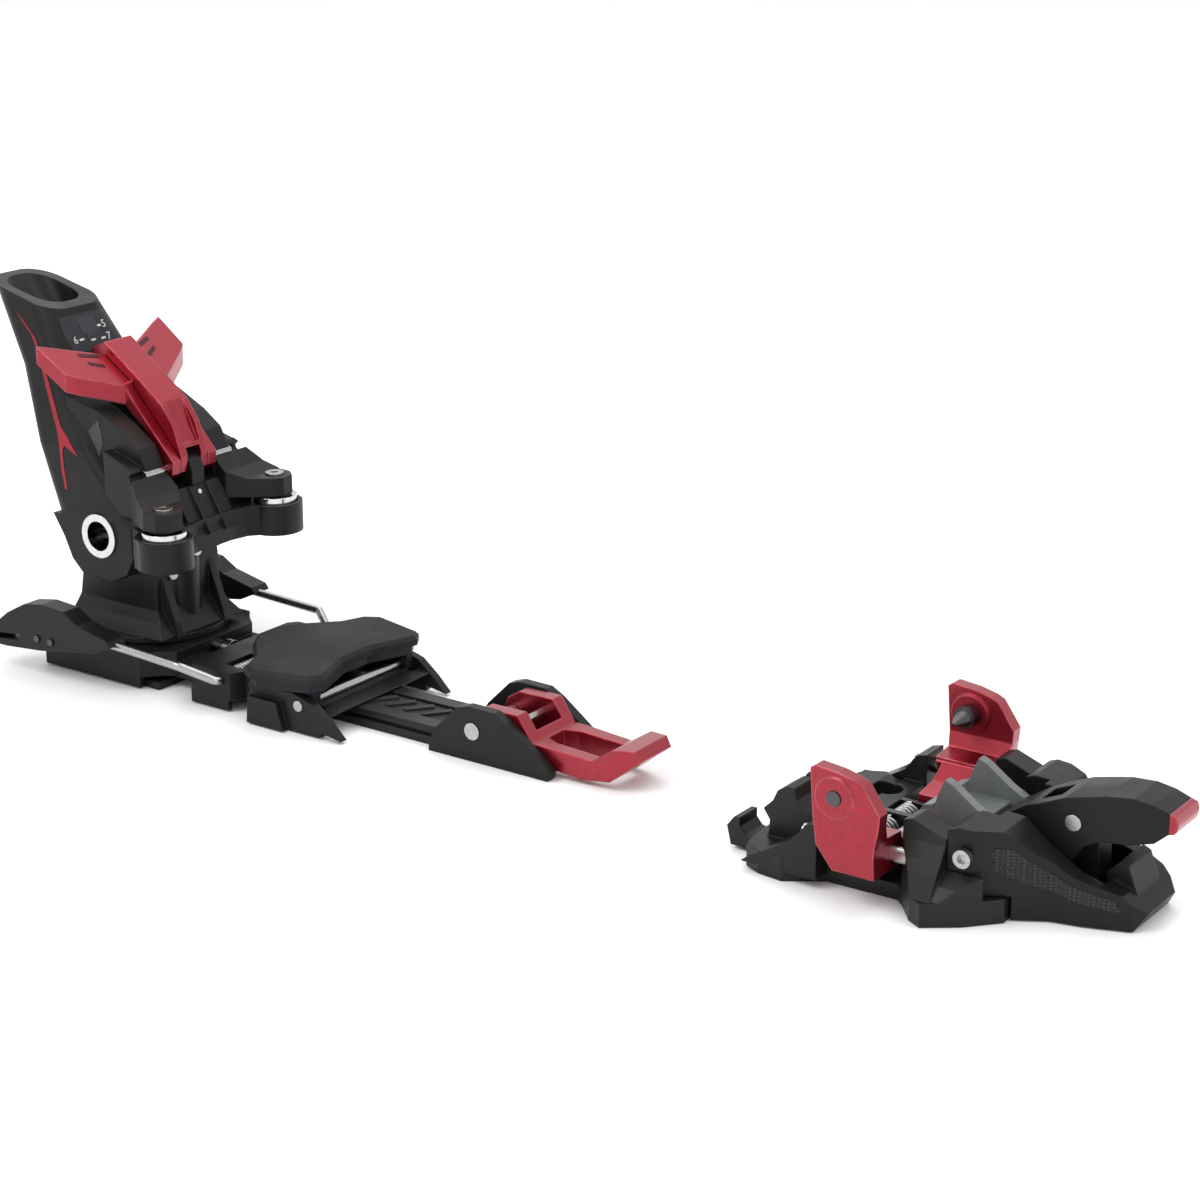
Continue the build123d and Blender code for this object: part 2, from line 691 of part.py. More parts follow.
# =====================================================================
# heel housing that tilts on the chrome tube
# =====================================================================
# height, centre, half length, half width and corner radius of the shell's sections
shell_levels = [
    (60.0, -324.5, 22.5, 27.6, 8.0),
    (85.0, -342.5, 14.6, 25.0, 5.0),
    (112.0, -357.2, 12.8, 19.4, 7.0),
    (136.0, -372.5, 15.5, 14.6, 10.0),
    (150.0, -381.0, 15.6, 13.8, 10.0),
]
cheek_side = [
    (-346.8, 60.2),
    (-341.6, 52.0),
    (-338.0, 44.0),
    (-333.0, 39.2),
    (-318.0, 38.0),
    (-310.5, 42.0),
    (-306.0, 50.0),
    (-302.2, 60.2),
]
front_block = [
    (-342.0, 60.0),
    (-342.0, 104.0),
    (-328.0, 101.0),
    (-315.0, 94.6),
    (-307.0, 89.0),
    (-302.4, 80.0),
    (-302.2, 60.0),
]
cap_half_plan = [
    (-320.0, 26.4),
    (-307.0, 27.4),
    (-298.0, 33.0),
    (-292.0, 36.0),
    (-286.0, 36.2),
    (-282.0, 32.8),
    (-281.6, 27.6),
    (-284.0, 24.0),
    (-292.0, 17.0),
    (-297.0, 12.6),
    (-320.0, 12.6),
]
cap_side = [
    (-322.0, 64.4),
    (-322.0, 88.0),
    (-306.0, 83.0),
    (-297.0, 74.6),
    (-291.0, 71.6),
    (-279.0, 71.2),
    (-279.0, 64.4),
]
with BuildPart() as cap_arms:
    for side in (-1, 1):
        plan_plate([(x, side * y) for x, y in cap_half_plan], 64.4, 90)
    side_plate(cap_side, -40, 40, mode=Mode.INTERSECT)

release_foot = (-336.0, 74.0)
spring_lean = (-15.0, 26.0)
lean_length = (spring_lean[0] ** 2 + spring_lean[1] ** 2) ** 0.5
lean_x = spring_lean[0] / lean_length
lean_z = spring_lean[1] / lean_length
lean_angle = degrees(atan2(spring_lean[0], spring_lean[1]))
release_bore_r = 8.6


def along_lean(distance):
    """A point on the release spring's axis, measured up from the tower's head."""
    return (release_foot[0] + lean_x * distance, 0, release_foot[1] + lean_z * distance)


def shell_section(level):
    """One rounded section of the leaning shell, as a face."""
    height, centre, half_length, half_width, corner = level
    with BuildSketch(Plane.XY.offset(height)) as section:
        with Locations((centre, 0)):
            RectangleRounded(2 * half_length, 2 * half_width, corner)
    return section.sketch.face()


with BuildPart() as housing:
    for lower, upper in zip(shell_levels, shell_levels[1:]):
        loft([shell_section(lower), shell_section(upper)], ruled=True)
    side_plate(front_block, -21.8, 21.8)
    add(cap_arms.part)
    for side in (-1, 1):
        side_plate(cheek_side, *sorted((side * 17.3, side * 27.6)))
    # slanted rim across the top
    side_plate([(-400, 143.5), (-400, 170), (-330, 170), (-330, 126.4)], -40, 40, mode=Mode.SUBTRACT)
    # hollow in the top for a pole tip
    loft(
        [shell_section((119, -362.0, 7.6, 7.0, 5.5)), shell_section((152, -382.6, 14.8, 12.4, 10.5))],
        ruled=True,
        mode=Mode.SUBTRACT,
    )
    # room for the tower's head
    rod_y(tower_x, axle_z, 15.5, -17.2, 17.2, mode=Mode.SUBTRACT)
    side_plate(
        [(-362.0, 30), (-362.0, 64.4), (-337.5, 64.4), (-330, 55), (-300, 55), (-300, 30)],
        -17.2,
        17.2,
        mode=Mode.SUBTRACT,
    )
    # notch for the climbing aids' knuckles, with a lug left for their pin
    box_between((-314.0, -270), (-12.4, 12.4), (72.6, 110), mode=Mode.SUBTRACT)
    # recess in the face that the folded aids lie in
    side_plate(
        [(-304, 81.5), (-314, 89), (-344.2, 112.6), (-344.2, 122.4), (-334, 136), (-290, 136), (-290, 81.5)],
        -12.6,
        12.6,
        mode=Mode.SUBTRACT,
    )
    side_plate(
        [(-318, 70), (-318, 86), (-304, 84.6), (-300, 82), (-298.5, 78), (-298.5, 72.6)],
        -3.2,
        3.2,
    )
    rod_y(aid_pivot_x, aid_pivot_z, aid_pin_r + running_gap, -40, 40, mode=Mode.SUBTRACT)
    # mouth of the front jaw under the aids
    side_plate(
        [(-306.9, 40), (-306.9, 62.6), (-303.0, 72.7), (-270, 72.7), (-270, 40)],
        -11.9,
        11.9,
        mode=Mode.SUBTRACT,
    )
    box_between((-306.9, -270), (-28, 28), (40, 64.35), mode=Mode.SUBTRACT)
    # bore for the release spring and its screw
    with Locations(Location(along_lean(15.0), (0, lean_angle, 0))):
        Cylinder(release_bore_r, 34, mode=Mode.SUBTRACT)
    rod_y(tower_x, axle_z, tube_r + fixed_gap, -40, 40, mode=Mode.SUBTRACT)
    for side in (-1, 1):
        near, far = sorted((side * 26.6, side * 30))
        rod_y(tower_x, axle_z, tube_flange_r + fixed_gap, near, far, mode=Mode.SUBTRACT)
        rod_z(roller_x, side * roller_y, 2.0 + fixed_gap, 50, 80, mode=Mode.SUBTRACT)
        rod_z(roller_x, side * roller_y, 3.6, 70.2, 80, mode=Mode.SUBTRACT)
keep(housing.part, "heel_housing")

jaw_half_plan = [
    (-306.8, 27.4),
    (-300, 30.6),
    (-296, 37.4),
    (-288, 39.6),
    (-282, 36),
    (-279.2, 30),
    (-283, 24.6),
    (-290.0, 16.0),
    (-291.5, 8),
]
with BuildPart() as roller_jaw:
    plan_plate(symmetric_plan(jaw_half_plan), 50.0, 61.4)
    for side in (-1, 1):
        rod_z(roller_x, side * roller_y, 10.2, 50.0, 61.4)
        rod_z(roller_x, side * roller_y, roller_r + 0.4, roller_low - 0.2, 62, mode=Mode.SUBTRACT)
        box_between((-306.8, -297.4), sorted((side * 14.0, side * 27.2)), (61.3, 64.3))
        rod_z(roller_x, side * roller_y, 2.0 + fixed_gap, 52, 80, mode=Mode.SUBTRACT)
    # ribbed nose between the rollers
    side_plate(
        [(-306.8, 61), (-306.8, 62.4), (-302.9, 72.5), (-299.5, 72.5), (-290.6, 56), (-291.4, 50), (-296, 50)],
        -11.8,
        11.8,
    )
    for y in (-4.4, 4.4):
        side_plate([(-300.0, 72.5), (-298.8, 72.5), (-288.8, 56.4), (-290.6, 55.4)], y - 0.7, y + 0.7)
keep(roller_jaw.part, "roller_jaw")

with BuildPart() as axle_tube:
    rod_y(tower_x, axle_z, tube_r, -28.0, 28.0)
    for side in (-1, 1):
        near, far = sorted((side * 26.7, side * 28.6))
        rod_y(tower_x, axle_z, tube_flange_r, near, far)
    rod_y(tower_x, axle_z, tube_bore_r, -40, 40, mode=Mode.SUBTRACT)
keep(axle_tube.part, "axle_tube")

with BuildPart() as roller_screws:
    for side in (-1, 1):
        rod_z(roller_x, side * roller_y, 2.0, 52.2, 70.4)
        rod_z(roller_x, side * roller_y, 3.5, 70.3, 72.2)
        rod_z(roller_x, side * roller_y, 1.4, 71.2, 73, mode=Mode.SUBTRACT)
keep(roller_screws.part, "roller_screws")

for side, name in ((1, "left"), (-1, "right")):
    with BuildPart() as roller:
        rod_z(roller_x, side * roller_y, roller_r, roller_low, roller_high)
        rod_z(roller_x, side * roller_y, 2.0 + running_gap, 50, 70, mode=Mode.SUBTRACT)
    keep(roller.part, f"roller_{name}")

# ---- release spring, piston and screw inside the leaning housing
with BuildPart() as release_piston:
    with Locations(Location(along_lean(1.4), (0, lean_angle, 0))):
        Cylinder(release_bore_r - 0.2, 4.0)
    with Locations(Location(along_lean(6.6), (0, lean_angle, 0))):
        Cylinder(3.6, 7.0)
keep(release_piston.part, "release_piston")

release_coil = coil(6.6, 1.2, 20.4, 5, along_lean(4.9), (lean_x, 0, lean_z))
keep(release_coil, "release_spring")

with BuildPart() as release_screw:
    with Locations(Location(along_lean(29.6), (0, lean_angle, 0))):
        Cylinder(release_bore_r - 0.2, 4.2)
keep(release_screw.part, "release_screw")

with BuildPart() as tower_pins:
    rod_x(-9.0, 39.0, 2.3, -311.0, -304.6)
    rod_x(4.0, 45.0, 2.3, -311.0, -304.6)
keep(tower_pins.part, "tower_pins")

with BuildPart() as aid_pin:
    rod_y(aid_pivot_x, aid_pivot_z, aid_pin_r, -22.6, 22.6)
keep(aid_pin.part, "aid_pin")

# ---- climbing aids: a tall inner one, and a low outer one with two finger tabs
high_aid_side = [
    (-307.6, 78.0),
    (-309.0, 84.0),
    (-316.0, 95.8),
    (-340.4, 114.8),
    (-343.4, 119.4),
    (-336.2, 122.4),
    (-321.0, 111.6),
    (-308.6, 102.2),
    (-303.4, 95.0),
    (-299.8, 84.0),
    (-300.4, 78.0),
    (-304.0, 75.6),
]
with BuildPart() as high_aid:
    side_plate(high_aid_side, -6.9, 6.9)
    # web between the two raised rails
    side_plate(
        [(-313, 110), (-338, 127), (-330, 130), (-300, 108), (-294, 90), (-302.4, 88.0), (-306.4, 96.6)],
        -4.4,
        4.4,
        mode=Mode.SUBTRACT,
    )
    box_between((-315, -290), (-3.6, 3.6), (70, 86.6), mode=Mode.SUBTRACT)
    rod_y(aid_pivot_x, aid_pivot_z, aid_pin_r + running_gap, -10, 10, mode=Mode.SUBTRACT)
keep(high_aid.part, "high_aid")

low_leg_side = [
    (-308.0, 78.0),
    (-309.4, 84.0),
    (-313.0, 93.4),
    (-327.0, 104.8),
    (-330.4, 112.6),
    (-323.0, 108.6),
    (-317.0, 101.6),
    (-305.0, 88.6),
    (-299.8, 83.0),
    (-300.4, 78.0),
    (-304.0, 75.6),
]
low_top_side = [
    (-350, 70),
    (-350, 121.8),
    (-346.6, 124.4),
    (-336.0, 117.4),
    (-323.0, 108.6),
    (-321.0, 112.0),
    (-296, 92),
    (-296, 70),
]
under_tab = [(-360, 60), (-360, 126.6), (-349.0, 119.4), (-320.0, 99.8), (-320.0, 60)]
under_leg = [
    (-360, 60),
    (-360, 126.6),
    (-349.0, 119.4),
    (-325.0, 103.2),
    (-321.9, 100.6),
    (-321.9, 60),
]
tab_half_plan = [
    (-336.5, 7.2),
    (-322.0, 7.2),
    (-322.6, 11.6),
    (-331.0, 28.0),
    (-332.8, 30.6),
    (-346.0, 31.6),
    (-344.0, 26.0),
]
for side, name in ((1, "left"), (-1, "right")):
    with BuildPart() as low_aid:
        side_plate(low_leg_side, *sorted((side * 7.2, side * 11.4)))
        plan_plate([(x, side * y) for x, y in tab_half_plan], 90, 140)
        side_plate(low_top_side, -40, 40, mode=Mode.INTERSECT)
        side_plate(under_tab, *sorted((side * 11.4, side * 40)), mode=Mode.SUBTRACT)
        side_plate(under_leg, *sorted((side * 7.0, side * 11.4)), mode=Mode.SUBTRACT)
        rod_y(aid_pivot_x, aid_pivot_z, aid_pin_r + fixed_gap, -14, 14, mode=Mode.SUBTRACT)
    keep(low_aid.part, f"low_aid_{name}")

os.makedirs("parts", exist_ok=True)
for part in parts:
    export_step(part, f"parts/{part.label}.step")
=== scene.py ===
import json
import math

import bmesh
import bpy
from mathutils import Euler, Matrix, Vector
from mathutils.bvhtree import BVHTree


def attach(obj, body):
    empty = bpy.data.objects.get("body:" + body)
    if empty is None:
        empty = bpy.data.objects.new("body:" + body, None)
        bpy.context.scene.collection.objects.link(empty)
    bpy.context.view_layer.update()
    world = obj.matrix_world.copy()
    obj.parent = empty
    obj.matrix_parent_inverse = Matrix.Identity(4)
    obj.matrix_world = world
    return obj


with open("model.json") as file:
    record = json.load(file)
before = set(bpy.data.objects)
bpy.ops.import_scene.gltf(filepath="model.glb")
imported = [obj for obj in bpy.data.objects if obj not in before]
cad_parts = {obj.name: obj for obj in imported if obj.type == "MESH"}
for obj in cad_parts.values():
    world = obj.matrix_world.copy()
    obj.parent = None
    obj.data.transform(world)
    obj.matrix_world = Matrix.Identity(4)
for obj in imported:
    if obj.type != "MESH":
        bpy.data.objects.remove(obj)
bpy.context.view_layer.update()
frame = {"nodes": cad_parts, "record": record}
record = frame["record"]
nodes = frame["nodes"]
SLOT_OF = {s["node"]: s["material_slot"] for s in record["subparts"]}
BODY_OF = {n: b for b, group in record["behaviour"]["bodies"].items() for n in group}
MM = 0.001

# laid-on pieces: how far off the surface the rays start, how far they reach, and the skin's thickness
RAY_START = 0.03
RAY_REACH = 0.06
SKIN = 0.00006


# ---------------------------------------------------------------- materials
class Shader:
    """A Principled material with short helpers for adding and linking nodes."""

    def __init__(self, name):
        self.material = bpy.data.materials.new(name)
        self.material.use_nodes = True
        self.tree = self.material.node_tree
        self.main = self.tree.nodes["Principled BSDF"]
        self.place = self.tree.nodes.new("ShaderNodeTexCoord").outputs["Object"]

    def plug(self, socket, value):
        if isinstance(value, bpy.types.NodeSocket):
            self.tree.links.new(value, socket)
        else:
            socket.default_value = value

    def add(self, kind, inputs=(), **settings):
        made = self.tree.nodes.new(kind)
        for key, value in settings.items():
            setattr(made, key, value)
        for index, value in enumerate(inputs):
            self.plug(made.inputs[index], value)
        return made

    def set(self, **values):
        for key, value in values.items():
            self.plug(self.main.inputs[key.replace("_", " ")], value)

    def noise(self, scale, detail=3.0, rough=0.5, stretch=(1.0, 1.0, 1.0)):
        place = self.add("ShaderNodeVectorMath", (self.place, stretch), operation="MULTIPLY").outputs[0]
        made = self.add("ShaderNodeTexNoise")
        self.plug(made.inputs["Vector"], place)
        made.inputs["Scale"].default_value = scale
        made.inputs["Detail"].default_value = detail
        made.inputs["Roughness"].default_value = rough
        return made.outputs[0]

    def ramp(self, value, low, high, out_low=0.0, out_high=1.0):
        return self.add("ShaderNodeMapRange", (value, low, high, out_low, out_high)).outputs[0]

    def math(self, operation, a, b=0.0):
        return self.add("ShaderNodeMath", (a, b), operation=operation).outputs[0]

    def mix(self, factor, a, b):
        made = self.add("ShaderNodeMix", data_type="RGBA")
        self.plug(made.inputs[0], factor)
        self.plug(made.inputs[6], a)
        self.plug(made.inputs[7], b)
        return made.outputs[2]

    def round_edges(self, radius):
        """Softens the shaded edges, and gives a mask of where the edges are."""
        soft = self.add("ShaderNodeBevel", samples=6)
        soft.inputs["Radius"].default_value = radius
        flat = self.add("ShaderNodeNewGeometry").outputs["Normal"]
        agree = self.add("ShaderNodeVectorMath", (soft.outputs[0], flat), operation="DOT_PRODUCT")
        self.soft_normal = soft.outputs[0]
        return self.ramp(agree.outputs["Value"], 0.985, 0.90)

    def bump(self, height, strength, distance):
        made = self.add("ShaderNodeBump")
        made.inputs["Strength"].default_value = strength
        made.inputs["Distance"].default_value = distance
        self.plug(made.inputs["Height"], height)
        self.plug(made.inputs["Normal"], self.soft_normal)
        self.plug(self.main.inputs["Normal"], made.outputs[0])


def opaque(colour):
    return [*colour, 1.0]


def dark_moulding(name, base, rough, edge, grain=1100.0, grain_strength=0.10, shine=0.22):
    """Moulded plastic or painted alloy: fine grain, dull patches and rubbed edges."""
    s = Shader(name)
    edges = s.round_edges(edge)
    patches = s.ramp(s.noise(30.0, 4.0), 0.35, 0.65)
    colour = s.mix(patches, opaque([c * 0.78 for c in base]), opaque([c * 1.22 for c in base]))
    rubbed = s.math("MULTIPLY", edges, s.ramp(s.noise(160.0, 3.0), 0.42, 0.62, 0.05, 0.5))
    colour = s.mix(rubbed, colour, opaque([c * 4.0 for c in base]))
    s.set(Base_Color=colour, Specular_IOR_Level=shine)
    s.set(Roughness=s.ramp(s.noise(70.0, 5.0), 0.3, 0.7, rough - 0.05, rough + 0.08))
    s.bump(s.noise(grain, 2.0, 0.6), grain_strength, 0.0002)
    return s.material


def anodised(name, base, deep, edge):
    """Anodised aluminium under a thin clear skin, with edges worn paler."""
    s = Shader(name)
    edges = s.round_edges(edge)
    brushed = s.ramp(s.noise(500.0, 3.0, 0.6, (1.0, 7.0, 1.0)), 0.3, 0.7)
    colour = s.mix(brushed, opaque(deep), opaque(base))
    worn = s.math("MULTIPLY", edges, s.ramp(s.noise(140.0, 3.0), 0.40, 0.62, 0.10, 0.45))
    colour = s.mix(worn, colour, opaque(WORN_RED))
    s.set(Base_Color=colour, Metallic=0.82)
    s.set(Roughness=s.ramp(s.noise(110.0, 4.0), 0.3, 0.7, 0.27, 0.36))
    s.set(Coat_Weight=0.5, Coat_Roughness=0.24, Coat_IOR=1.6)
    s.bump(s.noise(1600.0, 2.0, 0.6), 0.05, 0.0001)
    return s.material


def bare_metal(name, base, rough, edge, grain=(1.0, 1.0, 1.0)):
    s = Shader(name)
    edges = s.round_edges(edge)
    streak = s.noise(700.0, 3.0, 0.6, grain)
    colour = s.mix(s.ramp(streak, 0.3, 0.7), opaque([c * 0.80 for c in base]), opaque(base))
    colour = s.mix(s.math("MULTIPLY", edges, 0.35), colour, opaque([min(1.0, c * 1.35) for c in base]))
    s.set(Base_Color=colour, Metallic=1.0)
    s.set(Roughness=s.ramp(s.noise(200.0, 4.0), 0.3, 0.7, rough - 0.05, rough + 0.07))
    s.bump(streak, 0.05, 0.0001)
    return s.material


def guide_plastic(name):
    """Grey, slightly clear plastic."""
    s = Shader(name)
    s.round_edges(0.0005)
    colour = s.mix(s.ramp(s.noise(60.0, 3.0), 0.3, 0.7), [0.15, 0.16, 0.165, 1.0], [0.21, 0.22, 0.225, 1.0])
    s.set(Base_Color=colour, Transmission_Weight=0.25, IOR=1.46)
    s.set(Roughness=s.ramp(s.noise(150.0, 4.0), 0.3, 0.7, 0.30, 0.42))
    s.bump(s.noise(900.0, 2.0), 0.05, 0.0001)
    return s.material


def printed(name, base, rough, strength=0.05):
    """Ink or a thin moulded film on another piece, and the painted shade of the finger-tab pockets."""
    s = Shader(name)
    s.round_edges(0.0001)
    faded = s.ramp(s.noise(260.0, 4.0), 0.35, 0.70)
    s.set(Base_Color=s.mix(faded, opaque(base), opaque([c * 0.82 for c in base])))
    s.set(Roughness=s.ramp(s.noise(300.0, 3.0), 0.3, 0.7, rough - 0.05, rough + 0.08), Specular_IOR_Level=0.3)
    s.bump(s.noise(1500.0, 2.0), strength, 0.0001)
    return s.material


def scaled(name, base, cell):
    """Rows of small raised scales, as on a grip patch."""
    s = Shader(name)
    s.round_edges(0.0001)
    squashed = s.add("ShaderNodeVectorMath", (s.place, (1.0, 1.0, 1.3)), operation="MULTIPLY").outputs[0]
    cells = s.add("ShaderNodeTexVoronoi", feature="DISTANCE_TO_EDGE")
    s.plug(cells.inputs["Vector"], squashed)
    cells.inputs["Scale"].default_value = cell
    cells.inputs["Randomness"].default_value = 0.25
    ridge = s.ramp(cells.outputs["Distance"], 0.04, 0.22)
    # the grooves between the scales are painted darker: painted shade in the creases
    s.set(Base_Color=s.mix(ridge, opaque([c * 0.45 for c in base]), opaque(base)))
    s.set(Roughness=s.ramp(ridge, 0.0, 1.0, 0.60, 0.40), Specular_IOR_Level=0.35)
    s.bump(ridge, 0.8, 0.0004)
    return s.material


RED = [0.34, 0.006, 0.024]
DEEP_RED = [0.25, 0.004, 0.016]
WORN_RED = [0.70, 0.22, 0.26]
BLACK = [0.0075, 0.0072, 0.0070]
finish = {
    "red_anodised": anodised("red_anodised", RED, DEEP_RED, 0.0009),
    "black_plastic": dark_moulding("black_plastic", BLACK, 0.40, 0.0007),
    "black_alloy": dark_moulding("black_alloy", [0.0085, 0.0083, 0.0080], 0.36, 0.0007, 1500.0, 0.07, 0.26),
    "pedal_rubber": dark_moulding("pedal_rubber", [0.016, 0.015, 0.0142], 0.60, 0.0005, 600.0, 0.2, 0.18),
    "track_plastic": dark_moulding("track_plastic", [0.020, 0.020, 0.020], 0.5, 0.0003),
    "guide_plastic": guide_plastic("guide_plastic"),
    "steel": bare_metal("steel", (0.45, 0.445, 0.44), 0.24, 0.0003),
    "dark_steel": bare_metal("dark_steel", (0.10, 0.10, 0.105), 0.34, 0.0003),
    "spring_steel": bare_metal("spring_steel", (0.36, 0.36, 0.37), 0.32, 0.0002),
    "chrome": bare_metal("chrome", (0.66, 0.66, 0.67), 0.12, 0.0004),
    "pedal_plate": dark_moulding("pedal_plate", [0.011, 0.011, 0.015], 0.42, 0.0005),
}
finish["arm_rivets"] = finish["dark_steel"]
ink = {
    "white": printed("white_print", [0.62, 0.62, 0.61], 0.5),
    "red": printed("red_print", [0.30, 0.012, 0.026], 0.45),
    "window": printed("window_print", [0.030, 0.030, 0.042], 0.25, 0.02),
    "panel": printed("panel_print", [0.018, 0.018, 0.024], 0.38),
    # the pockets' dark red is painted shade in the shallow recesses
    "pocket": printed("pocket_painted_shade", [0.050, 0.002, 0.007], 0.55),
    "scales": scaled("scale_patch", [0.026, 0.026, 0.027], 720.0),
    "grey_scales": scaled("grey_patch", [0.075, 0.075, 0.080], 1100.0),
}

for node, thing in nodes.items():
    thing.data.materials.clear()
    thing.data.materials.append(finish.get(node, finish[SLOT_OF[node]]))

# real rounding where the outline shows it
ROUNDED = {
    "wing_left": 0.9,
    "wing_right": 0.9,
    "toe_lever": 1.3,
    "lever_cap": 0.6,
    "walk_lever": 0.6,
    "high_aid": 0.6,
    "low_aid_left": 0.5,
    "low_aid_right": 0.5,
    "brake_arm_left": 0.8,
    "brake_arm_right": 0.8,
}
for node, width in ROUNDED.items():
    weld = nodes[node].modifiers.new("weld", "WELD")
    weld.merge_threshold = 0.000001
    merge = nodes[node].modifiers.new("merge_flats", "DECIMATE")
    merge.decimate_type = "DISSOLVE"
    merge.angle_limit = math.radians(1.0)
    bevel = nodes[node].modifiers.new("bevel", "BEVEL")
    bevel.width = width * MM
    bevel.segments = 2
    bevel.limit_method = "ANGLE"
    bevel.angle_limit = math.radians(25)
    bevel.use_clamp_overlap = True


# ---------------------------------------------------------------- thin pieces that lie on a surface
surface_of = {}


def surface(node):
    """The node's own surface, ready for rays."""
    if node not in surface_of:
        shape = nodes[node].data
        corners = [v.co[:] for v in shape.vertices]
        surface_of[node] = BVHTree.FromPolygons(corners, [list(p.vertices) for p in shape.polygons])
    return surface_of[node]


def lay_on(name, node, mesh, origin, across, up, paint, lift=0.10):
    """Drops a flat mesh, drawn in millimetres, straight down onto a node's surface."""
    across = Vector(across).normalized()
    up = Vector(up).normalized()
    outward = across.cross(up).normalized()
    start = Vector(origin) * MM
    lost = []
    for vertex in mesh.verts:
        above = start + across * vertex.co.x * MM + up * vertex.co.y * MM + outward * RAY_START
        hit = surface(node).ray_cast(above, -outward, RAY_REACH)[0]
        if hit is None:
            lost.append(vertex)
        else:
            vertex.co = hit + outward * lift * MM
    bmesh.ops.delete(mesh, geom=lost, context="VERTS")
    data = bpy.data.meshes.new(name)
    mesh.to_mesh(data)
    mesh.free()
    data.materials.append(paint)
    made = bpy.data.objects.new(name, data)
    bpy.context.scene.collection.objects.link(made)
    skin = made.modifiers.new("skin", "SOLIDIFY")
    skin.thickness = SKIN
    skin.offset = -1.0
    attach(made, BODY_OF[node])
    return made


def outline(points, cell=1.2):
    """A flat polygon cut into small cells so that it can follow a curved surface."""
    mesh = bmesh.new()
    mesh.faces.new([mesh.verts.new((u, v, 0)) for u, v in points])
    bmesh.ops.triangulate(mesh, faces=mesh.faces)
    for _ in range(6):
        long_edges = [e for e in mesh.edges if e.calc_length() > cell]
        if not long_edges:
            break
        bmesh.ops.subdivide_edges(mesh, edges=long_edges, cuts=1)
        bmesh.ops.triangulate(mesh, faces=mesh.faces)
    return mesh


def figure(text, height, u, v):
    """A numeral as a flat mesh, centred on u, v."""
    curve = bpy.data.curves.new("figure_" + text, "FONT")
    curve.body = text
    curve.size = height * 1.4
    curve.align_x = "CENTER"
    curve.align_y = "CENTER"
    curve.resolution_u = 2
    holder = bpy.data.objects.new("figure_" + text, curve)
    bpy.context.scene.collection.objects.link(holder)
    shape = bpy.data.meshes.new_from_object(holder)
    bpy.data.objects.remove(holder)
    mesh = bmesh.new()
    mesh.from_mesh(shape)
    bpy.data.meshes.remove(shape)
    bmesh.ops.triangulate(mesh, faces=mesh.faces)
    for vertex in mesh.verts:
        vertex.co.x += u
        vertex.co.y += v
    return mesh


# the release dial's window on the housing's front face
FACE = (-349.0, 0.0, 120.0)
FACE_ACROSS = (0.0, 1.0, 0.0)
FACE_UP = (-12.6, 0.0, 24.0)
panel = [
    (-11.5, 11.0),
    (11.5, 11.0),
    (12.3, 4.5),
    (11.6, -2.0),
    (6.0, -3.6),
    (-6.0, -3.6),
    (-11.6, -2.0),
    (-12.3, 4.5),
]
lay_on("dial_panel", "heel_housing", outline(panel), FACE, FACE_ACROSS, FACE_UP, ink["panel"], 0.10)
window = [
    (-4.2, 9.4),
    (4.2, 9.4),
    (4.2, 3.2),
    (2.4, 3.2),
    (2.4, 1.6),
    (-2.4, 1.6),
    (-2.4, 3.2),
    (-4.2, 3.2),
]
lay_on("dial_window", "heel_housing", outline(window), FACE, FACE_ACROSS, FACE_UP, ink["window"], 0.22)
for text, u, v in (("6", -8.6, 1.4), ("7", 7.8, 0.2), ("5", 7.6, 5.2)):
    numeral = figure(text, 3.0, u, v)
    lay_on("dial_" + text, "heel_housing", numeral, FACE, FACE_ACROSS, FACE_UP, ink["white"], 0.22)
for index, (u, v) in enumerate(((-5.6, 1.2), (4.9, 0.0), (5.0, 5.0), (-0.2, 0.2))):
    tick = outline([(u - 1.1, v - 0.4), (u + 1.1, v - 0.4), (u + 1.1, v + 0.4), (u - 1.1, v + 0.4)])
    lay_on(f"dial_tick_{index}", "heel_housing", tick, FACE, FACE_ACROSS, FACE_UP, ink["white"], 0.22)

# red flash down each side of the housing, and a grey grip patch at the foot of its front ridge
flash = [
    (-373.0, 131.6),
    (-366.0, 126.4),
    (-361.0, 122.2),
    (-357.6, 116.6),
    (-354.0, 110.4),
    (-350.4, 104.0),
    (-347.0, 97.4),
    (-344.4, 92.6),
    (-340.6, 89.4),
    (-334.0, 82.6),
    (-341.6, 86.0),
    (-342.4, 84.0),
    (-341.4, 77.6),
    (-339.4, 70.0),
    (-340.6, 70.0),
    (-342.8, 77.0),
    (-344.0, 85.4),
    (-346.4, 92.0),
    (-350.2, 99.0),
    (-354.0, 106.6),
    (-357.2, 113.0),
    (-360.0, 118.6),
    (-363.4, 123.6),
    (-368.4, 127.4),
]
patch = [(-331.6, 92.4), (-326.2, 97.4), (-324.4, 89.0), (-326.6, 83.2)]
# scaled grip along the cowl's upper edge
grip = [
    (41.0, 17.6),
    (46.0, 23.4),
    (50.0, 22.8),
    (57.0, 17.4),
    (66.0, 12.6),
    (78.0, 9.6),
    (80.0, 6.0),
    (68.0, 7.6),
    (56.0, 11.6),
]
